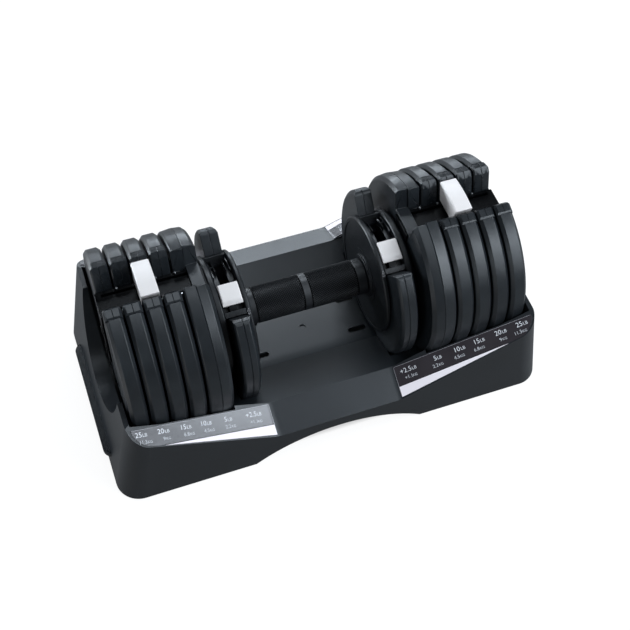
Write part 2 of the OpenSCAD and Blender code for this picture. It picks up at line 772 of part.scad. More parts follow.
side(false) thin_insert(2);  // insert_20_right
side(true) thin_plate(3);  // plate_25_left
side(false) thin_plate(3);  // plate_25_right
side(true) thin_insert(3);  // insert_25_left
side(false) thin_insert(3);  // insert_25_right
side(true) selector_cap();  // selector_cap_left
side(false) selector_cap();  // selector_cap_right
side(true) selector_fork();  // selector_fork_left
side(false) selector_fork();  // selector_fork_right
side(true) addon_button();  // addon_button_left
side(false) addon_button();  // addon_button_right
side(true) latch_rotor();  // latch_rotor_left
side(false) latch_rotor();  // latch_rotor_right
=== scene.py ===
import json
import math

import bmesh
import bpy
from mathutils import Matrix, Vector


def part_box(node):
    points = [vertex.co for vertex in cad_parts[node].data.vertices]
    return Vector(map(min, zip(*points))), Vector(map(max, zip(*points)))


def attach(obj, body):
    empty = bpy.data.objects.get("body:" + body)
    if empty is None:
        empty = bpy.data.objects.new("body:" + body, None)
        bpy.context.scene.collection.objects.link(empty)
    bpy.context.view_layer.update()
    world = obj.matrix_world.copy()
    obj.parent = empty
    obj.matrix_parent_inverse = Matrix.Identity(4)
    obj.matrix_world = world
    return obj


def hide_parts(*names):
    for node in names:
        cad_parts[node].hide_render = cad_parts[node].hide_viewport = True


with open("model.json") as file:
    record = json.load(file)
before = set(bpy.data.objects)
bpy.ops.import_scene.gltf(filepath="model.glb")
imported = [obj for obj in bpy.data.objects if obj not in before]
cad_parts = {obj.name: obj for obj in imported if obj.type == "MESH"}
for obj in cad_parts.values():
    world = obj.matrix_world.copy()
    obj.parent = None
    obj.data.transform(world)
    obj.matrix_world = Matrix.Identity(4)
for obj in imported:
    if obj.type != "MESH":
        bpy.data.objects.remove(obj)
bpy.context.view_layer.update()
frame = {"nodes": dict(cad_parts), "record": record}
print("frame loaded")

mm = 0.001
mergeReach = 1e-6  # points closer than this become one
sides = {"left": -1, "right": 1}
tubeLow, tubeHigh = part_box("handle_tube")
axisHeight = round((tubeLow[2] + tubeHigh[2]) / 2, 4)  # handle axis above the ground
print("handle axis at {:.1f} mm".format(axisHeight / mm))


def addObject(name, data):
    thing = bpy.data.objects.new(name, data)
    bpy.context.scene.collection.objects.link(thing)
    return thing


cameraSettings = {
    "place": (-0.2016, -0.5392, 0.8989),
    "turn": (34.2615, -1.3642, -19.5743),  # degrees
    "lens": 65.73,  # millimetres, as the sensor
    "sensor": 36.0,
    "nearest": 0.05,
}


def makeCamera(settings):
    data = bpy.data.cameras.new("studioCamera")
    data.lens = settings["lens"]
    data.sensor_width = settings["sensor"]
    data.clip_start = settings["nearest"]
    camera = addObject("studioCamera", data)
    camera.location = settings["place"]
    camera.rotation_euler = [math.radians(angle) for angle in settings["turn"]]
    bpy.context.scene.camera = camera


makeCamera(cameraSettings)
bpy.context.scene.view_settings.view_transform = "Standard"
print("camera set")


# Shader groups and nodes, shared by the finishes
def newGroup(name, inputs, outputs):
    group = bpy.data.node_groups.new(name, "ShaderNodeTree")
    kinds = {"value": "NodeSocketFloat", "colour": "NodeSocketColor", "vector": "NodeSocketVector"}
    for label, kind in inputs:
        group.interface.new_socket(label, in_out="INPUT", socket_type=kinds[kind])
    for label, kind in outputs:
        group.interface.new_socket(label, in_out="OUTPUT", socket_type=kinds[kind])
    start = group.nodes.new("NodeGroupInput")
    end = group.nodes.new("NodeGroupOutput")
    return group, start, end


def feed(tree, socket, given):
    # Sets a plain value, or links the output of another node
    if isinstance(given, (int, float, tuple)):
        socket.default_value = given
    else:
        tree.links.new(given, socket)


def addNoise(tree, vector, scale, detail, roughness):
    noise = tree.nodes.new("ShaderNodeTexNoise")
    for label, given in (("Vector", vector), ("Scale", scale), ("Detail", detail),
                         ("Roughness", roughness)):
        feed(tree, noise.inputs[label], given)
    return noise.outputs["Fac"]


def addRange(tree, value, low, high, fromLow=0.0, fromHigh=1.0):
    node = tree.nodes.new("ShaderNodeMapRange")
    for label, given in (("Value", value), ("From Min", fromLow), ("From Max", fromHigh), ("To Min", low),
                         ("To Max", high)):
        feed(tree, node.inputs[label], given)
    return node.outputs["Result"]


def addMix(tree, factor, first, second):
    node = tree.nodes.new("ShaderNodeMix")
    node.data_type = "RGBA"
    for place, given in ((0, factor), (6, first), (7, second)):  # the factor and the two colours
        feed(tree, node.inputs[place], given)
    return node.outputs[2]


def addMath(tree, operation, *values):
    node = tree.nodes.new("ShaderNodeMath")
    node.operation = operation
    for socket, given in zip(node.inputs, values):
        feed(tree, socket, given)
    return node.outputs[0]


mouldedLook = {
    "cloudDetail": 3.0, "cloudRoughness": 0.55, "cloudFrom": 0.3, "cloudTo": 0.7,
    "grainDetail": 2.0, "grainRoughness": 0.6, "speckFrom": 0.55, "speckTo": 0.75, "speckShare": 0.35,
}


def makeMouldedGrain(look):
    # Cloudy tone, uneven gloss and the fine spark texture of a mould
    group, start, end = newGroup(
        "mouldedGrain",
        [("Vector", "vector"), ("Colour", "colour"), ("Pale Colour", "colour"), ("Gloss Low", "value"),
         ("Gloss High", "value"), ("Cloud Scale", "value"), ("Grain Scale", "value")],
        [("Colour", "colour"), ("Roughness", "value"), ("Height", "value")])
    clouds = addNoise(group, start.outputs["Vector"], start.outputs["Cloud Scale"], look["cloudDetail"],
                      look["cloudRoughness"])
    clouds = addRange(group, clouds, 0.0, 1.0, look["cloudFrom"], look["cloudTo"])
    grain = addNoise(group, start.outputs["Vector"], start.outputs["Grain Scale"], look["grainDetail"],
                     look["grainRoughness"])
    speck = addRange(group, grain, 0.0, look["speckShare"], look["speckFrom"], look["speckTo"])
    tone = addMath(group, "ADD", clouds, speck)
    group.links.new(addMix(group, tone, start.outputs["Colour"], start.outputs["Pale Colour"]),
                    end.inputs["Colour"])
    group.links.new(addRange(group, clouds, start.outputs["Gloss Low"], start.outputs["Gloss High"]),
                    end.inputs["Roughness"])
    group.links.new(grain, end.inputs["Height"])
    return group


scratchLook = {"stretch": (60, 2600, 2600), "detail": 3.0, "roughness": 0.6, "from": 0.62, "to": 0.8}


def makeFineScratches(look):
    # Long faint rub marks along X for parts that slide or are handled
    group, start, end = newGroup("fineScratches", [("Vector", "vector"), ("Amount", "value")],
                                 [("Mask", "value"), ("Height", "value")])
    stretch = group.nodes.new("ShaderNodeMapping")
    stretch.inputs["Scale"].default_value = look["stretch"]
    group.links.new(start.outputs["Vector"], stretch.inputs["Vector"])
    lines = addNoise(group, stretch.outputs["Vector"], 1.0, look["detail"], look["roughness"])
    mask = addRange(group, lines, 0.0, 1.0, look["from"], look["to"])
    group.links.new(addMath(group, "MULTIPLY", mask, start.outputs["Amount"]), end.inputs["Mask"])
    group.links.new(lines, end.inputs["Height"])
    return group


mouldedGrain = makeMouldedGrain(mouldedLook)
fineScratches = makeFineScratches(scratchLook)

# Every finish: tone, paler tone of its clouds and specks, gloss range, grain and shine
finishes = {
    "trayPlastic": {"tone": (0.0085, 0.0102, 0.0122), "pale": (0.0125, 0.0148, 0.0175),
                    "gloss": (0.29, 0.35), "clouds": 14, "grain": 1900, "bump": 0.22, "specular": 0.36},
    "platePaint": {"tone": (0.0085, 0.0102, 0.0120), "pale": (0.0150, 0.0178, 0.0205),
                   "gloss": (0.28, 0.34), "clouds": 30, "grain": 2400, "bump": 0.30, "specular": 0.42},
    "insertPlastic": {"tone": (0.0085, 0.0102, 0.0120), "pale": (0.0140, 0.0165, 0.0190),
                      "gloss": (0.25, 0.31), "clouds": 40, "grain": 2600, "bump": 0.18, "specular": 0.42},
    "drumPlastic": {"tone": (0.0045, 0.0052, 0.0062), "pale": (0.0080, 0.0092, 0.0108),
                    "gloss": (0.34, 0.42), "clouds": 26, "grain": 2300, "bump": 0.22, "specular": 0.30},
    "gripPlastic": {"tone": (0.0065, 0.0075, 0.0092), "pale": (0.0110, 0.0125, 0.0150),
                    "gloss": (0.36, 0.46), "clouds": 60, "grain": 3000, "bump": 0.12, "specular": 0.42},
    "mechanismBlack": {"tone": (0.0012, 0.0013, 0.0016), "pale": (0.0024, 0.0026, 0.0031),
                       "gloss": (0.20, 0.28), "clouds": 50, "grain": 1500, "bump": 0.05, "specular": 0.14},
    "railBlack": {"tone": (0.004, 0.0045, 0.0055), "pale": (0.007, 0.008, 0.0095), "gloss": (0.20, 0.28),
                  "clouds": 70, "grain": 2500, "bump": 0.05, "specular": 0.30},
    "silverCap": {"tone": (0.66, 0.62, 0.60), "pale": (0.71, 0.67, 0.65), "gloss": (0.34, 0.42),
                  "clouds": 60, "grain": 5200, "bump": 0.10, "specular": 0.5, "scratch": 0.10},
    "brightSteel": {"tone": (0.52, 0.53, 0.55), "pale": (0.62, 0.63, 0.65), "gloss": (0.22, 0.34),
                    "clouds": 80, "grain": 2600, "bump": 0.10, "metal": 1.0, "scratch": 0.3},
    "labelFilm": {"tone": (0.022, 0.018, 0.021), "pale": (0.030, 0.025, 0.029), "gloss": (0.20, 0.25),
                  "clouds": 20, "grain": 4200, "bump": 0.05, "specular": 0.68},
    "labelEdge": {"tone": (0.30, 0.29, 0.31), "pale": (0.40, 0.39, 0.41), "gloss": (0.3, 0.4),
                  "clouds": 60, "grain": 4200, "bump": 0.03},
    "wedgeFilm": {"tone": (0.86, 0.79, 0.81), "pale": (0.90, 0.83, 0.85), "gloss": (0.34, 0.42),
                  "clouds": 20, "grain": 4200, "bump": 0.05, "specular": 0.25},
    "printWhite": {"tone": (0.74, 0.74, 0.76), "pale": (0.82, 0.82, 0.84), "gloss": (0.4, 0.5),
                   "clouds": 200, "grain": 5200, "bump": 0.05},
    "printGrey": {"tone": (0.52, 0.52, 0.54), "pale": (0.58, 0.58, 0.60), "gloss": (0.4, 0.5),
                  "clouds": 200, "grain": 5200, "bump": 0.05},
    "footRubber": {"tone": (0.010, 0.010, 0.011), "pale": (0.020, 0.020, 0.022), "gloss": (0.62, 0.78),
                   "clouds": 40, "grain": 900, "bump": 0.35},
}


bumpDepth = 0.2 * mm


def makeFinish(name, look):
    material = bpy.data.materials.new(name)
    material.use_nodes = True
    tree = material.node_tree
    shader = tree.nodes["Principled BSDF"]
    coordinates = tree.nodes.new("ShaderNodeTexCoord").outputs["Object"]
    grain = tree.nodes.new("ShaderNodeGroup")
    grain.node_tree = mouldedGrain
    grain.inputs["Colour"].default_value = (*look["tone"], 1)
    grain.inputs["Pale Colour"].default_value = (*look["pale"], 1)
    grain.inputs["Gloss Low"].default_value, grain.inputs["Gloss High"].default_value = look["gloss"]
    grain.inputs["Cloud Scale"].default_value = look["clouds"]
    grain.inputs["Grain Scale"].default_value = look["grain"]
    tree.links.new(coordinates, grain.inputs["Vector"])
    roughness = grain.outputs["Roughness"]
    if "scratch" in look:
        rub = tree.nodes.new("ShaderNodeGroup")
        rub.node_tree = fineScratches
        rub.inputs["Amount"].default_value = look["scratch"]
        tree.links.new(coordinates, rub.inputs["Vector"])
        roughness = addMath(tree, "ADD", roughness, rub.outputs["Mask"])
    tree.links.new(grain.outputs["Colour"], shader.inputs["Base Color"])
    tree.links.new(roughness, shader.inputs["Roughness"])
    bump = tree.nodes.new("ShaderNodeBump")
    bump.inputs["Strength"].default_value = look["bump"]
    bump.inputs["Distance"].default_value = bumpDepth
    tree.links.new(grain.outputs["Height"], bump.inputs["Height"])
    tree.links.new(bump.outputs["Normal"], shader.inputs["Normal"])
    shader.inputs["Specular IOR Level"].default_value = look.get("specular", 0.5)
    shader.inputs["Metallic"].default_value = look.get("metal", 0.0)
    return material


# Painted shade in the bottoms of the knurl: a darker tone and a weaker reflection below the crest
grooves = {"valley": 15.60 * mm, "crest": 15.86 * mm, "tone": (0.0010, 0.0011, 0.0013, 1),
           "shine": (0.04, 0.48)}


def addGrooveShade(material, look):
    # Painted shade: darkens the bottoms of the knurl and dulls their reflection, by their distance from
    # the handle axis
    tree = material.node_tree
    shader = tree.nodes["Principled BSDF"]
    parts = tree.nodes.new("ShaderNodeSeparateXYZ")
    tree.links.new(tree.nodes["Texture Coordinate"].outputs["Object"], parts.inputs[0])
    height = addMath(tree, "SUBTRACT", parts.outputs["Z"], axisHeight)
    squares = [addMath(tree, "MULTIPLY", part, part) for part in (parts.outputs["Y"], height)]
    radius = addMath(tree, "SQRT", addMath(tree, "ADD", *squares))
    share = addRange(tree, radius, 0.0, 1.0, look["valley"], look["crest"])
    base = shader.inputs["Base Color"].links[0].from_socket
    tree.links.new(addMix(tree, share, look["tone"], base), shader.inputs["Base Color"])
    tree.links.new(addRange(tree, share, *look["shine"]), shader.inputs["Specular IOR Level"])


materials = {name: makeFinish(name, look) for name, look in finishes.items()}
addGrooveShade(materials["gripPlastic"], grooves)
print("finishes made")


def addPiece(name, mesh, body, slot, finish, *nodes):
    mesh.materials.clear()
    mesh.materials.append(materials[finish])
    piece = addObject(name, mesh)
    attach(piece, body)
    if nodes:
        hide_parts(*nodes)


def evaluatedMesh(piece, name):
    # Applies the modifiers and drops the helper object
    depsgraph = bpy.context.evaluated_depsgraph_get()
    mesh = bpy.data.meshes.new_from_object(piece.evaluated_get(depsgraph))
    mesh.name = name
    bpy.data.objects.remove(piece)
    return mesh


def finishShape(shape, name):
    mesh = bpy.data.meshes.new(name)
    shape.to_mesh(mesh)
    shape.free()
    return mesh


# How the copy of a solid is cleaned, rounded and shaded, with its angles in degrees
softening = {"merge": 2e-6, "flat": 0.5, "sharp": 28, "segments": 3, "crease": 34, "faceWeight": 80}


def softenedMesh(node, width, segments=softening["segments"], weigh=None, clamp=False,
                 crease=softening["crease"]):
    # A copy of the solid with its sharp edges rounded, flat faces kept flat
    shape = bmesh.new()
    shape.from_mesh(frame["nodes"][node].data)
    bmesh.ops.remove_doubles(shape, verts=shape.verts, dist=softening["merge"])
    bmesh.ops.dissolve_limit(shape, angle_limit=math.radians(softening["flat"]), verts=shape.verts,
                             edges=shape.edges)
    weights = shape.edges.layers.float.new("bevel_weight_edge")
    limit = math.radians(softening["sharp"])
    for edge in shape.edges:
        if len(edge.link_faces) == 2 and edge.calc_face_angle() > limit:
            edge[weights] = weigh(edge) if weigh else 1.0
    helper = addObject(node + "Soft", finishShape(shape, node + "Soft"))
    bevel = helper.modifiers.new("edges", "BEVEL")
    bevel.limit_method = "WEIGHT"
    bevel.width = width
    bevel.segments = segments
    bevel.use_clamp_overlap = clamp
    rounded = evaluatedMesh(helper, node + "Round")
    rounded.shade_smooth()
    shape = bmesh.new()
    shape.from_mesh(rounded)
    for edge in shape.edges:
        edge.smooth = len(edge.link_faces) == 2 and edge.calc_face_angle() < math.radians(crease)
    shape.to_mesh(rounded)
    shape.free()
    helper = addObject(node + "Round", rounded)
    flatten = helper.modifiers.new("normals", "WEIGHTED_NORMAL")
    flatten.keep_sharp = True
    flatten.weight = softening["faceWeight"]
    return evaluatedMesh(helper, node + "Soft")


def middleOf(edge):
    return (edge.verts[0].co + edge.verts[1].co) / 2


seamEdges = {"reach": 0.6, "flat": 0.08, "rimBand": 0.9}  # millimetres


def seamWeight(seam, rim, others):
    # Rounds the edges of a seam at this place on the handle axis, but not on the rim, which has a bevel
    def weigh(edge):
        middle = middleOf(edge)
        away = abs(abs(middle.x) - seam * mm)
        onRim = math.hypot(middle.y, middle.z - axisHeight) > (rim - seamEdges["rimBand"]) * mm
        if away < seamEdges["reach"] * mm:
            flat = seamEdges["flat"] * mm
            inPlane = all(abs(abs(vert.co.x) - seam * mm) < flat for vert in edge.verts)
            return 1.0 if inPlane and not onRim else 0.0
        return others
    return weigh


bodyOf = {node: body for body, nodes in frame["record"]["behaviour"]["bodies"].items() for node in nodes}
slotOf = {part["node"]: part["material_slot"] for part in frame["record"]["subparts"]}


def softenNode(node, finish, width, **options):
    # The piece is called after its node
    words = node.split("_")
    name = words[0] + "".join(word.capitalize() for word in words[1:]) + "Piece"
    addPiece(name, softenedMesh(node, width, **options), bodyOf[node], slotOf[node], finish, node)


# Width of each kind of part's rounded edges
edgeWidth = {
    "tray": 1.8 * mm, "feet": 0.8 * mm, "strip": 0.15 * mm, "flange": 0.45 * mm, "housing": 0.3 * mm,
    "addon": 0.4 * mm, "thick": 0.35 * mm, "plate": 0.3 * mm, "insert": 0.35 * mm, "beam": 0.25 * mm,
    "pins": 0.2 * mm, "cap": 0.35 * mm, "fork": 0.2 * mm, "rotor": 0.35 * mm, "tube": 0.3 * mm,
    "screws": 0.2 * mm,
}
trayEdges = {"segments": 5, "crease": 18.5, "footHeight": 4.5 * mm, "footShare": 0.35,
             "wellX": 180 * mm, "wellY": 62 * mm, "wellHeight": 45.5 * mm, "wellShare": 0.12}


def trayWeight(edge):
    # Ribs, feet and screw slots keep small edges, the outer shell is well rounded
    middle = middleOf(edge)
    if middle.z < trayEdges["footHeight"]:
        return trayEdges["footShare"]
    inWell = abs(middle.x) < trayEdges["wellX"] and abs(middle.y) < trayEdges["wellY"]
    if inWell and middle.z < trayEdges["wellHeight"]:
        return trayEdges["wellShare"]
    return 1.0


softenNode("tray", "trayPlastic", edgeWidth["tray"], segments=trayEdges["segments"], weigh=trayWeight,
           clamp=True, crease=trayEdges["crease"])
softenNode("rubber_feet", "footRubber", edgeWidth["feet"])
print("tray done")

flangeRecess = {"inner": 22 * mm, "outer": 50 * mm}


def flangeWeight(edge):
    # The rim and the collar are rounded, the shallow recess between them isn't
    middle = middleOf(edge)
    radius = math.hypot(middle.y, middle.z - axisHeight)
    return 0.0 if flangeRecess["inner"] < radius < flangeRecess["outer"] else 1.0


# Places of the seams along the handle axis, and radii of the rims, in millimetres
seams = {"addon": 68.7, "thick": 97.4, "10": 117.0, "15": 133.0, "20": 149.0, "25": 165.0}
rims = {"addon": 74.0, "thick": 81.2, "insert": 81.7}
for side in sides:
    softenNode("inner_flange_" + side, "drumPlastic", edgeWidth["flange"], weigh=flangeWeight)
    softenNode("drum_housing_" + side, "drumPlastic", edgeWidth["housing"])
    softenNode("outer_disc_" + side, "drumPlastic", edgeWidth["flange"])
    for layer in ("inner", "outer"):
        softenNode("addon_{}_{}".format(layer, side), "platePaint", edgeWidth["addon"],
                   weigh=seamWeight(seams["addon"], rims["addon"], 1.0))
        softenNode("thick_{}_{}".format(layer, side), "platePaint", edgeWidth["thick"],
                   weigh=seamWeight(seams["thick"], rims["thick"], 1.0))
    softenNode("beam_" + side, "mechanismBlack", edgeWidth["beam"], clamp=True)
    softenNode("beam_cap_" + side, "mechanismBlack", edgeWidth["beam"])
    softenNode("detent_pins_" + side, "brightSteel", edgeWidth["pins"])
    for weight in ("10", "15", "20", "25"):
        softenNode("plate_{}_{}".format(weight, side), "platePaint", edgeWidth["plate"])
        softenNode("insert_{}_{}".format(weight, side), "insertPlastic", edgeWidth["insert"], segments=1,
                   weigh=seamWeight(seams[weight], rims["insert"], 0.0))
    softenNode("selector_cap_" + side, "silverCap", edgeWidth["cap"])
    softenNode("selector_fork_" + side, "mechanismBlack", edgeWidth["fork"])
    softenNode("addon_button_" + side, "silverCap", edgeWidth["cap"])
    softenNode("latch_rotor_" + side, "mechanismBlack", edgeWidth["rotor"])
softenNode("handle_tube", "brightSteel", edgeWidth["tube"])
softenNode("end_screws", "mechanismBlack", edgeWidth["screws"])
print("heads done")

# Grip: a sleeve with a raised middle ring and a smooth band at each end, in millimetres
sleeve = {"bore": 10.1, "root": 15.40, "ring": 16.0, "band": 15.8, "ringEnd": 2.8, "knurlStart": 3.2,
          "knurlEnd": 45.6, "bandStart": 46.0, "end": 54.3, "chamfer": 0.8, "steps": 96, "crease": 30}
# The diamond knurl between its ring and its bands
knurlSizes = {
    "Root Radius": 15.50 * mm, "Knurl Depth": 0.62 * mm, "Knurl Start": sleeve["knurlStart"] * mm,
    "Knurl End": sleeve["knurlEnd"] * mm, "Fade Rate": 30.0, "Merge Distance": mergeReach,
    "Diamonds Around": 46, "Diamonds Along": 20, "Steps": 4,
}


def makeKnurlTree():
    tree = bpy.data.node_groups.new("diamondKnurl", "GeometryNodeTree")
    for label in ("Root Radius", "Knurl Depth", "Knurl Start", "Knurl End", "Fade Rate", "Merge Distance"):
        tree.interface.new_socket(label, in_out="INPUT", socket_type="NodeSocketFloat")
    for label in ("Diamonds Around", "Diamonds Along", "Steps"):
        tree.interface.new_socket(label, in_out="INPUT", socket_type="NodeSocketInt")
    tree.interface.new_socket("Finish", in_out="INPUT", socket_type="NodeSocketMaterial")
    tree.interface.new_socket("Geometry", in_out="OUTPUT", socket_type="NodeSocketGeometry")
    start = tree.nodes.new("NodeGroupInput")
    end = tree.nodes.new("NodeGroupOutput")
    around = addMath(tree, "MULTIPLY", start.outputs["Diamonds Around"], start.outputs["Steps"])
    along = addMath(tree, "MULTIPLY", start.outputs["Diamonds Along"], start.outputs["Steps"])
    length = addMath(tree, "SUBTRACT", start.outputs["Knurl End"], start.outputs["Knurl Start"])
    grid = tree.nodes.new("GeometryNodeMeshGrid")
    grid.inputs["Size X"].default_value = 1.0
    grid.inputs["Size Y"].default_value = 1.0
    tree.links.new(addMath(tree, "ADD", along, 1), grid.inputs["Vertices X"])
    tree.links.new(addMath(tree, "ADD", around, 1), grid.inputs["Vertices Y"])
    place = tree.nodes.new("GeometryNodeInputPosition")
    parts = tree.nodes.new("ShaderNodeSeparateXYZ")
    tree.links.new(place.outputs[0], parts.inputs[0])
    lengthShare = addMath(tree, "ADD", parts.outputs["X"], 0.5)
    turnShare = addMath(tree, "ADD", parts.outputs["Y"], 0.5)
    # Two crossing sets of grooves, the lower of the two leaves the diamonds
    first = addMath(tree, "MULTIPLY", turnShare, start.outputs["Diamonds Around"])
    second = addMath(tree, "MULTIPLY", lengthShare, start.outputs["Diamonds Along"])
    heights = []
    for operation in ("ADD", "SUBTRACT"):
        groove = addMath(tree, "PINGPONG", addMath(tree, operation, first, second), 0.5)
        heights.append(addMath(tree, "MULTIPLY", groove, 2.0))
    height = addMath(tree, "MINIMUM", heights[0], heights[1])
    # Fades to the plain cylinder at both ends of the knurl
    nearEnd = addMath(tree, "PINGPONG", lengthShare, 0.5)
    fade = addMath(tree, "MINIMUM", addMath(tree, "MULTIPLY", nearEnd, start.outputs["Fade Rate"]), 1.0)
    height = addMath(tree, "MULTIPLY", height, fade)
    radius = addMath(tree, "ADD", start.outputs["Root Radius"],
                     addMath(tree, "MULTIPLY", height, start.outputs["Knurl Depth"]))
    turn = addMath(tree, "MULTIPLY", turnShare, 2 * math.pi)
    spot = tree.nodes.new("ShaderNodeCombineXYZ")
    travel = addMath(tree, "MULTIPLY", lengthShare, length)
    across = addMath(tree, "MULTIPLY", radius, addMath(tree, "COSINE", turn))
    rise = addMath(tree, "MULTIPLY", radius, addMath(tree, "SINE", turn))
    tree.links.new(addMath(tree, "ADD", start.outputs["Knurl Start"], travel), spot.inputs["X"])
    tree.links.new(across, spot.inputs["Y"])
    tree.links.new(addMath(tree, "ADD", axisHeight, rise), spot.inputs["Z"])
    move = tree.nodes.new("GeometryNodeSetPosition")
    tree.links.new(grid.outputs["Mesh"], move.inputs["Geometry"])
    tree.links.new(spot.outputs["Vector"], move.inputs["Position"])
    mirror = tree.nodes.new("GeometryNodeTransform")
    mirror.inputs["Scale"].default_value = (-1, 1, 1)
    tree.links.new(move.outputs["Geometry"], mirror.inputs["Geometry"])
    flip = tree.nodes.new("GeometryNodeFlipFaces")
    tree.links.new(mirror.outputs["Geometry"], flip.inputs["Mesh"])
    join = tree.nodes.new("GeometryNodeJoinGeometry")
    tree.links.new(move.outputs["Geometry"], join.inputs["Geometry"])
    tree.links.new(flip.outputs["Mesh"], join.inputs["Geometry"])
    merge = tree.nodes.new("GeometryNodeMergeByDistance")
    tree.links.new(start.outputs["Merge Distance"], merge.inputs["Distance"])
    tree.links.new(join.outputs["Geometry"], merge.inputs["Geometry"])
    realize = tree.nodes.new("GeometryNodeRealizeInstances")
    tree.links.new(merge.outputs["Geometry"], realize.inputs["Geometry"])
    paint = tree.nodes.new("GeometryNodeSetMaterial")
    tree.links.new(realize.outputs["Geometry"], paint.inputs["Geometry"])
    tree.links.new(start.outputs["Finish"], paint.inputs["Material"])
    tree.links.new(paint.outputs["Geometry"], end.inputs["Geometry"])
    return tree


def runTree(tree, settings, name):
    # Runs a geometry tree on an empty mesh and returns its plain result
    helper = addObject(name + "Helper", bpy.data.meshes.new(name + "Helper"))
    modifier = helper.modifiers.new("shape", "NODES")
    modifier.node_group = tree
    for item in tree.interface.items_tree:
        if item.item_type == "SOCKET" and item.in_out == "INPUT":
            modifier[item.identifier] = settings[item.name]
    return evaluatedMesh(helper, name)


knurl = runTree(makeKnurlTree(), {**knurlSizes, "Finish": materials["gripPlastic"]}, "knurlSleeve")
addPiece("knurlSleeve", knurl, "dumbbell", "grip_plastic", "gripPlastic")


def lathe(profile, steps):
    # Turns (x, radius) points about the handle axis into a closed mesh
    points, faces = [], []
    for k in range(steps):
        angle = 2 * math.pi * k / steps
        for x, radius in profile:
            points.append((x, radius * math.cos(angle), axisHeight + radius * math.sin(angle)))
    count = len(profile)
    for k in range(steps):
        for j in range(count):
            a, b = k * count + j, k * count + (j + 1) % count
            c, d = ((k + 1) % steps) * count + (j + 1) % count, ((k + 1) % steps) * count + j
            faces.append((a, b, c, d))
    mesh = bpy.data.meshes.new("lathe")
    mesh.from_pydata(points, [], faces)
    return mesh


def smoothMesh(mesh, crease):
    shape = bmesh.new()
    shape.from_mesh(mesh)
    bmesh.ops.remove_doubles(shape, verts=shape.verts, dist=mergeReach)
    bmesh.ops.recalc_face_normals(shape, faces=shape.faces)
    shape.to_mesh(mesh)
    shape.free()
    mesh.shade_smooth()
    mesh.set_sharp_from_angle(angle=math.radians(crease))
    return mesh


def sleeveProfile(s):
    half = [(s["ringEnd"], s["ring"]), (s["knurlStart"], s["root"]), (s["knurlEnd"], s["root"]),
            (s["bandStart"], s["band"]), (s["end"] - s["chamfer"], s["band"]),
            (s["end"], s["band"] - s["chamfer"]), (s["end"], s["bore"])]
    outline = [(-x, r) for x, r in reversed(half)] + half
    return [(x * mm, r * mm) for x, r in outline]


gripMesh = smoothMesh(lathe(sleeveProfile(sleeve), sleeve["steps"]), sleeve["crease"])
addPiece("gripSleeve", gripMesh, "dumbbell", "grip_plastic", "gripPlastic", "grip_sleeve")
print("grip done")


def drumPoint(sx, x, radius, angle):
    # A point beside a drum; the angle runs from the top towards the front, sizes are in millimetres
    turn = math.radians(angle)
    return Vector((sx * x, -radius * math.sin(turn), axisHeight / mm + radius * math.cos(turn))) * mm


def arcBar(shape, sx, bar, pieces):
    # A bar of four sides that follows the drum between two angles
    rings = []
    for k in range(pieces + 1):
        angle = bar["from"] + (bar["to"] - bar["from"]) * k / pieces
        corners = ((bar["x0"], bar["low"]), (bar["x1"], bar["low"]), (bar["x1"], bar["high"]),
                   (bar["x0"], bar["high"]))
        rings.append([shape.verts.new(drumPoint(sx, x, radius, angle)) for x, radius in corners])
    for first, second in zip(rings, rings[1:]):
        for k in range(4):
            shape.faces.new((first[k], first[(k + 1) % 4], second[(k + 1) % 4], second[k]))
    shape.faces.new(rings[0])
    shape.faces.new(rings[-1])


# Rails and stop inside each drum's window, in millimetres and degrees
# They leave the middle free for the rotor, and stay below the underside of the cap
barPieces = 14
windowBars = [
    {"x0": 61.4, "x1": 62.0, "low": 43.4, "high": 49.2, "from": -33.4, "to": -9.5},
    {"x0": 64.3, "x1": 65.1, "low": 43.4, "high": 47.4, "from": -33.4, "to": -12.5},
    {"x0": 73.7, "x1": 74.5, "low": 43.4, "high": 48.6, "from": -33.4, "to": -12.0},
    {"x0": 76.9, "x1": 77.6, "low": 43.4, "high": 49.2, "from": -33.4, "to": -4.0},
    {"x0": 62.2, "x1": 76.4, "low": 43.4, "high": 45.6, "from": -33.4, "to": -31.0},
    {"x0": 73.7, "x1": 77.2, "low": 46.4, "high": 48.8, "from": -20.4, "to": -18.6},
]


def makeWindowBars(sx):
    shape = bmesh.new()
    for bar in windowBars:
        arcBar(shape, sx, bar, barPieces)
    bmesh.ops.recalc_face_normals(shape, faces=shape.faces)
    return finishShape(shape, "windowBars")


for side, sx in sides.items():
    name = "windowRails" + side.capitalize()
    addPiece(name, makeWindowBars(sx), "dumbbell", "mechanism_black", "railBlack")
print("windows done")

# The ramps that carry the marking strips, lengths in millimetres
panel = {"innerX": 56, "innerY": 73.5, "height": 50.0, "tilt": 25.5, "rise": 22.3, "run": 0.1, "skin": 0.6}


def panelPoint(sx, sy, along, inward, lift):
    # along: millimetres outwards from the middle, inward: distance from the centre line
    fall = math.tan(math.radians(panel["tilt"]))
    climb = math.tan(math.radians(panel["rise"]))
    z = panel["height"] - fall * (inward - panel["innerY"]) + climb * (along - panel["innerX"])
    normal = Vector((-climb * sx, fall * sy, 1)).normalized()
    return (Vector((sx * along, sy * inward, z)) + normal * (panel["skin"] + lift)) * mm, normal


lettering = {"raised": 0.02 * mm, "curveSteps": 3}


def textMesh(words, size, thin):
    curve = bpy.data.curves.new("marks", "FONT")
    curve.body = words
    curve.size = size
    curve.align_x = "LEFT"
    curve.extrude = lettering["raised"]
    curve.offset = -thin
    curve.resolution_u = lettering["curveSteps"]
    return evaluatedMesh(addObject("marks", curve), "marks")


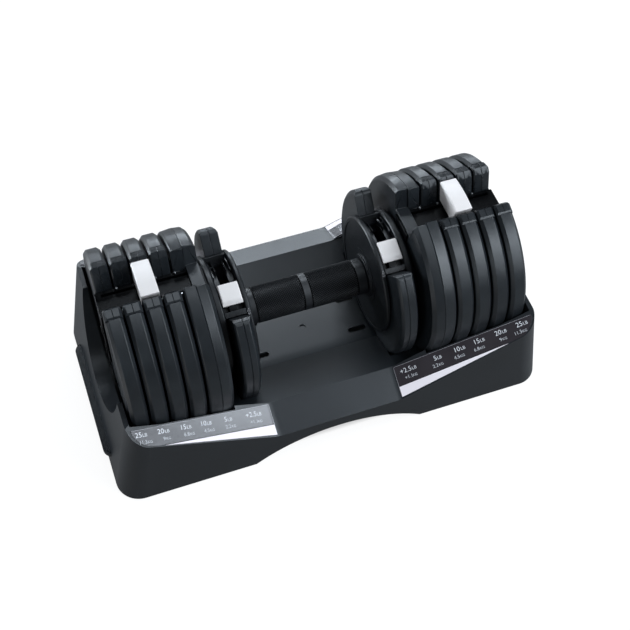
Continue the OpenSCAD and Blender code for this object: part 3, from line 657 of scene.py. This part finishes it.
# Widths, drop and gap are shares of the letters' size, the rest is in millimetres
marks = {
    "top": 1, "run": 0.086, "lift": 0.02, "step": 10,
    "figureWidth": 0.62, "unitWidth": 1.25, "drop": 0.36, "gap": 0.1,
    "topRow": {"below": 5.3, "figures": 5.9, "letters": 4.0, "thin": 0.03, "unit": "LB",
               "finish": "printWhite",
               "columns": [(70.5, "+2.5"), (94.5, "5"), (113.5, "10"), (130.5, "15"), (149, "20"),
                           (167, "25")]},
    "lowRow": {"below": 11.0, "figures": 4.2, "letters": 3.1, "thin": 0.0, "unit": "KG",
               "finish": "printGrey",
               "columns": [(70.5, "+1.1"), (93.5, "2.2"), (112, "4.5"), (129, "6.8"), (148.5, "9"),
                           (164.5, "11.3")]},
}


def addWords(shape, words, size, thin, origin, across, up, start):
    mesh = textMesh(words, size, thin)
    width = max((v.co.x for v in mesh.vertices), default=0.0)
    normal = across.cross(up)
    turn = Matrix((across, up, normal)).transposed().to_4x4()
    mesh.transform(Matrix.Translation(origin + across * start) @ turn)
    shape.from_mesh(mesh)
    return width


def makeMarks(sx, sy, row):
    shape = bmesh.new()
    thin = row["thin"] * mm
    figureSize, letterSize = row["figures"] * mm, row["letters"] * mm
    for along, figures in row["columns"]:
        inward = panel["innerY"] + marks["top"] + marks["run"] * (along - panel["innerX"]) + row["below"]
        spot, normal = panelPoint(sx, sy, along, inward, marks["lift"])
        nearby, _ = panelPoint(sx, sy, along + marks["step"], inward + marks["step"] * marks["run"],
                               marks["lift"])
        across = (nearby - spot).normalized() * (sx * -sy)
        up = normal.cross(across)
        total = figureSize * marks["figureWidth"] * len(figures) + letterSize * marks["unitWidth"]
        base = spot - up * figureSize * marks["drop"]
        taken = addWords(shape, figures, figureSize, thin, base, across, up, -total / 2)
        start = taken + figureSize * marks["gap"] - total / 2
        addWords(shape, row["unit"], letterSize, thin, base, across, up, start)
    return finishShape(shape, "marks")


# Border lines of a strip, in millimetres
borders = {"innerX": 57.2, "outerX": 174.6, "top": 1.2, "lowY": 98.4, "wide": 0.4, "narrow": 0.2,
           "thick": 0.03}


def makeBorder(sx, sy):
    # Pale lines along a strip's inner end and its upper edge
    top = [(along, panel["innerY"] + borders["top"] + panel["run"] * (along - panel["innerX"]))
           for along in (borders["innerX"], borders["outerX"])]
    shape = bmesh.new()
    for (x0, y0), (x1, y1), width in ((top[0], (borders["innerX"], borders["lowY"]), borders["wide"]),
                                      (*top, borders["narrow"])):
        length = math.hypot(x1 - x0, y1 - y0)
        dx, dy = (y1 - y0) / length * width / 2, (x1 - x0) / length * width / 2
        corners = [(x0 + dx, y0 - dy), (x1 + dx, y1 - dy), (x1 - dx, y1 + dy), (x0 - dx, y0 + dy)]
        low = [shape.verts.new(panelPoint(sx, sy, x, y, 0.0)[0]) for x, y in corners]
        high = [shape.verts.new(panelPoint(sx, sy, x, y, borders["thick"])[0]) for x, y in corners]
        shape.faces.new(high)
        shape.faces.new(low[::-1])
        for k in range(4):
            n = (k + 1) % 4
            shape.faces.new((low[k], low[n], high[n], high[k]))
    bmesh.ops.recalc_face_normals(shape, faces=shape.faces)
    return finishShape(shape, "border")


for yName, sy in (("front", -1), ("back", 1)):
    for xName, sx in sides.items():
        label = "label_{}_{}".format(yName, xName)
        where = yName.capitalize() + xName.capitalize()
        softenNode(label, "labelFilm", edgeWidth["strip"])
        addPiece("border" + where, makeBorder(sx, sy), "tray", "label_strip", "labelEdge")
        for row in ("topRow", "lowRow"):
            addPiece(row + "Marks" + where, makeMarks(sx, sy, marks[row]), "tray", "label_strip",
                     marks[row]["finish"])
softenNode("wedge_trims", "wedgeFilm", edgeWidth["strip"])
print("strips done")

# Small mark on the rim of each drum's flange, in millimetres and degrees
rimMark = {"words": "+2.5", "size": 3.1, "thin": 0.04, "radius": 52.52, "x": 57.3, "width": 2.2,
           "from": 34.5}


def makeRimMark(sx):
    # Reads downwards, its letters stand across the rim
    mesh = textMesh(rimMark["words"], rimMark["size"] * mm, rimMark["thin"] * mm)
    for vert in mesh.vertices:
        radius = rimMark["radius"] + vert.co.z / mm
        angle = rimMark["from"] + math.degrees(vert.co.x / mm / rimMark["radius"])
        across = vert.co.y / mm if sx > 0 else rimMark["width"] - vert.co.y / mm
        vert.co = drumPoint(sx, rimMark["x"] + across, radius, angle)
    shape = bmesh.new()
    shape.from_mesh(mesh)
    bmesh.ops.recalc_face_normals(shape, faces=shape.faces)
    return finishShape(shape, "rimMark")


for side, sx in sides.items():
    addPiece("rimMark" + side.capitalize(), makeRimMark(sx), "dumbbell", "drum_plastic", "labelEdge")
print("rim marks done")

# The floor looks white to the camera; reflections see it dark, except for a painted glow to the left of
# the tray, which puts a painted reflection on the tray's left end
floorLook = {
    "half": 6.0, "drop": 0.0003, "gloss": 0.9, "tone": 0.12, "seen": 0.90, "mirrored": 0.12,
    "leftPaintedGlow": 0.80, "leftFrom": -0.40, "leftTo": -0.25,
    "paintedShadowTone": (0.003, 0.003, 0.003, 1), "underHalf": {"X": 0.182, "Y": 0.092}, "underFade": 0.012,
}


def makeFloor(look):
    mesh = bpy.data.meshes.new("studioFloor")
    turns = ((-1, -1), (1, -1), (1, 1), (-1, 1))
    corners = [(x * look["half"], y * look["half"], -look["drop"]) for x, y in turns]
    mesh.from_pydata(corners, [], [(0, 1, 2, 3)])
    material = bpy.data.materials.new("paleFloor")
    material.use_nodes = True
    tree = material.node_tree
    shader = tree.nodes["Principled BSDF"]
    shader.inputs["Roughness"].default_value = look["gloss"]
    path = tree.nodes.new("ShaderNodeLightPath")
    mirrored = addMath(tree, "MAXIMUM", path.outputs["Is Glossy Ray"], path.outputs["Is Transmission Ray"])
    place = tree.nodes.new("ShaderNodeTexCoord").outputs["Object"]
    parts = tree.nodes.new("ShaderNodeSeparateXYZ")
    tree.links.new(place, parts.inputs[0])
    # Painted glow seen only in reflections, paler to the left of the tray
    share = addRange(tree, parts.outputs["X"], look["leftPaintedGlow"], look["mirrored"], look["leftFrom"],
                     look["leftTo"])
    seen = addMath(tree, "MULTIPLY", path.outputs["Is Camera Ray"], look["seen"])
    glow = addMath(tree, "MAXIMUM", seen, addMath(tree, "MULTIPLY", mirrored, share))
    # Painted shadow under the tray: there the floor's colour is dark and it has no glow
    masks = []
    for axis, reach in look["underHalf"].items():
        away = addMath(tree, "ABSOLUTE", parts.outputs[axis])
        masks.append(addRange(tree, away, 0.0, 1.0, reach - look["underFade"], reach))
    outside = addMath(tree, "MAXIMUM", *masks)
    glow = addMath(tree, "MULTIPLY", glow, outside)
    tone = (*[look["tone"]] * 3, 1)
    tree.links.new(addMix(tree, outside, look["paintedShadowTone"], tone), shader.inputs["Base Color"])
    shader.inputs["Emission Color"].default_value = (1, 1, 1, 1)
    tree.links.new(glow, shader.inputs["Emission Strength"])
    mesh.materials.append(material)
    floor = addObject("studioFloor", mesh)


worldLook = {"tone": (0.95, 0.97, 1.0, 1), "around": 0.12, "mirrored": 0.12}


def makeWorld(look):
    world = bpy.data.worlds.new("studioWorld")
    bpy.context.scene.world = world
    world.use_nodes = True
    tree = world.node_tree
    background = tree.nodes["Background"]
    background.inputs["Color"].default_value = look["tone"]
    path = tree.nodes.new("ShaderNodeLightPath")
    seen = addMath(tree, "MAXIMUM", path.outputs["Is Camera Ray"], path.outputs["Is Transmission Ray"])
    around = addRange(tree, path.outputs["Is Glossy Ray"], look["around"], look["mirrored"])
    tree.links.new(addMath(tree, "MAXIMUM", seen, around), background.inputs["Strength"])


# The lamps all look at one point and share a slightly cool tint
lampTint = (0.82, 0.91, 1.0)
lampTarget = (0, 0, 0.08)
lamps = {
    "lowBack": {"place": (0.353, 1.66, 0.18), "size": (0.9, 0.2), "watts": 6.6},
    "highBack": {"place": (0.254, 1.186, 1.266), "size": (0.7, 0.5), "watts": 11.5},
    "frontHigh": {"place": (0.352, -0.529, 1.658), "size": (0.6, 0.6), "watts": 2.2},
    "rightTop": {"place": (1.345, -0.261, 1.086), "size": (0.6, 0.6), "watts": 14.5},
    "lowLeft": {"place": (-1.205, -1.033, 0.683), "size": (0.6, 0.6), "watts": 6.0},
    "lowLeftBack": {"place": (-1.275, 1.105, 0.284), "size": (0.9, 0.24), "watts": 30},
    "frontRight": {"place": (1.034, -1.207, 0.683), "size": (0.6, 0.6), "watts": 8.0},
    "overhead": {"place": (0.0, 0.0, 1.78), "size": (0.6, 0.6), "watts": 4.0},
    "frontTop": {"place": (0.849, -0.934, 1.218), "size": (0.6, 0.6), "watts": 11.0},
}


def makeLamp(name, lamp):
    data = bpy.data.lights.new(name, "AREA")
    data.shape = "RECTANGLE"
    data.size, data.size_y = lamp["size"]
    data.energy = lamp["watts"]
    data.color = lampTint
    light = addObject(name, data)
    light.location = lamp["place"]
    toward = Vector(lampTarget) - Vector(lamp["place"])
    light.rotation_euler = toward.to_track_quat("-Z", "Y").to_euler()


makeFloor(floorLook)
makeWorld(worldLook)
for name, lamp in lamps.items():
    makeLamp(name, lamp)
print("studio set")
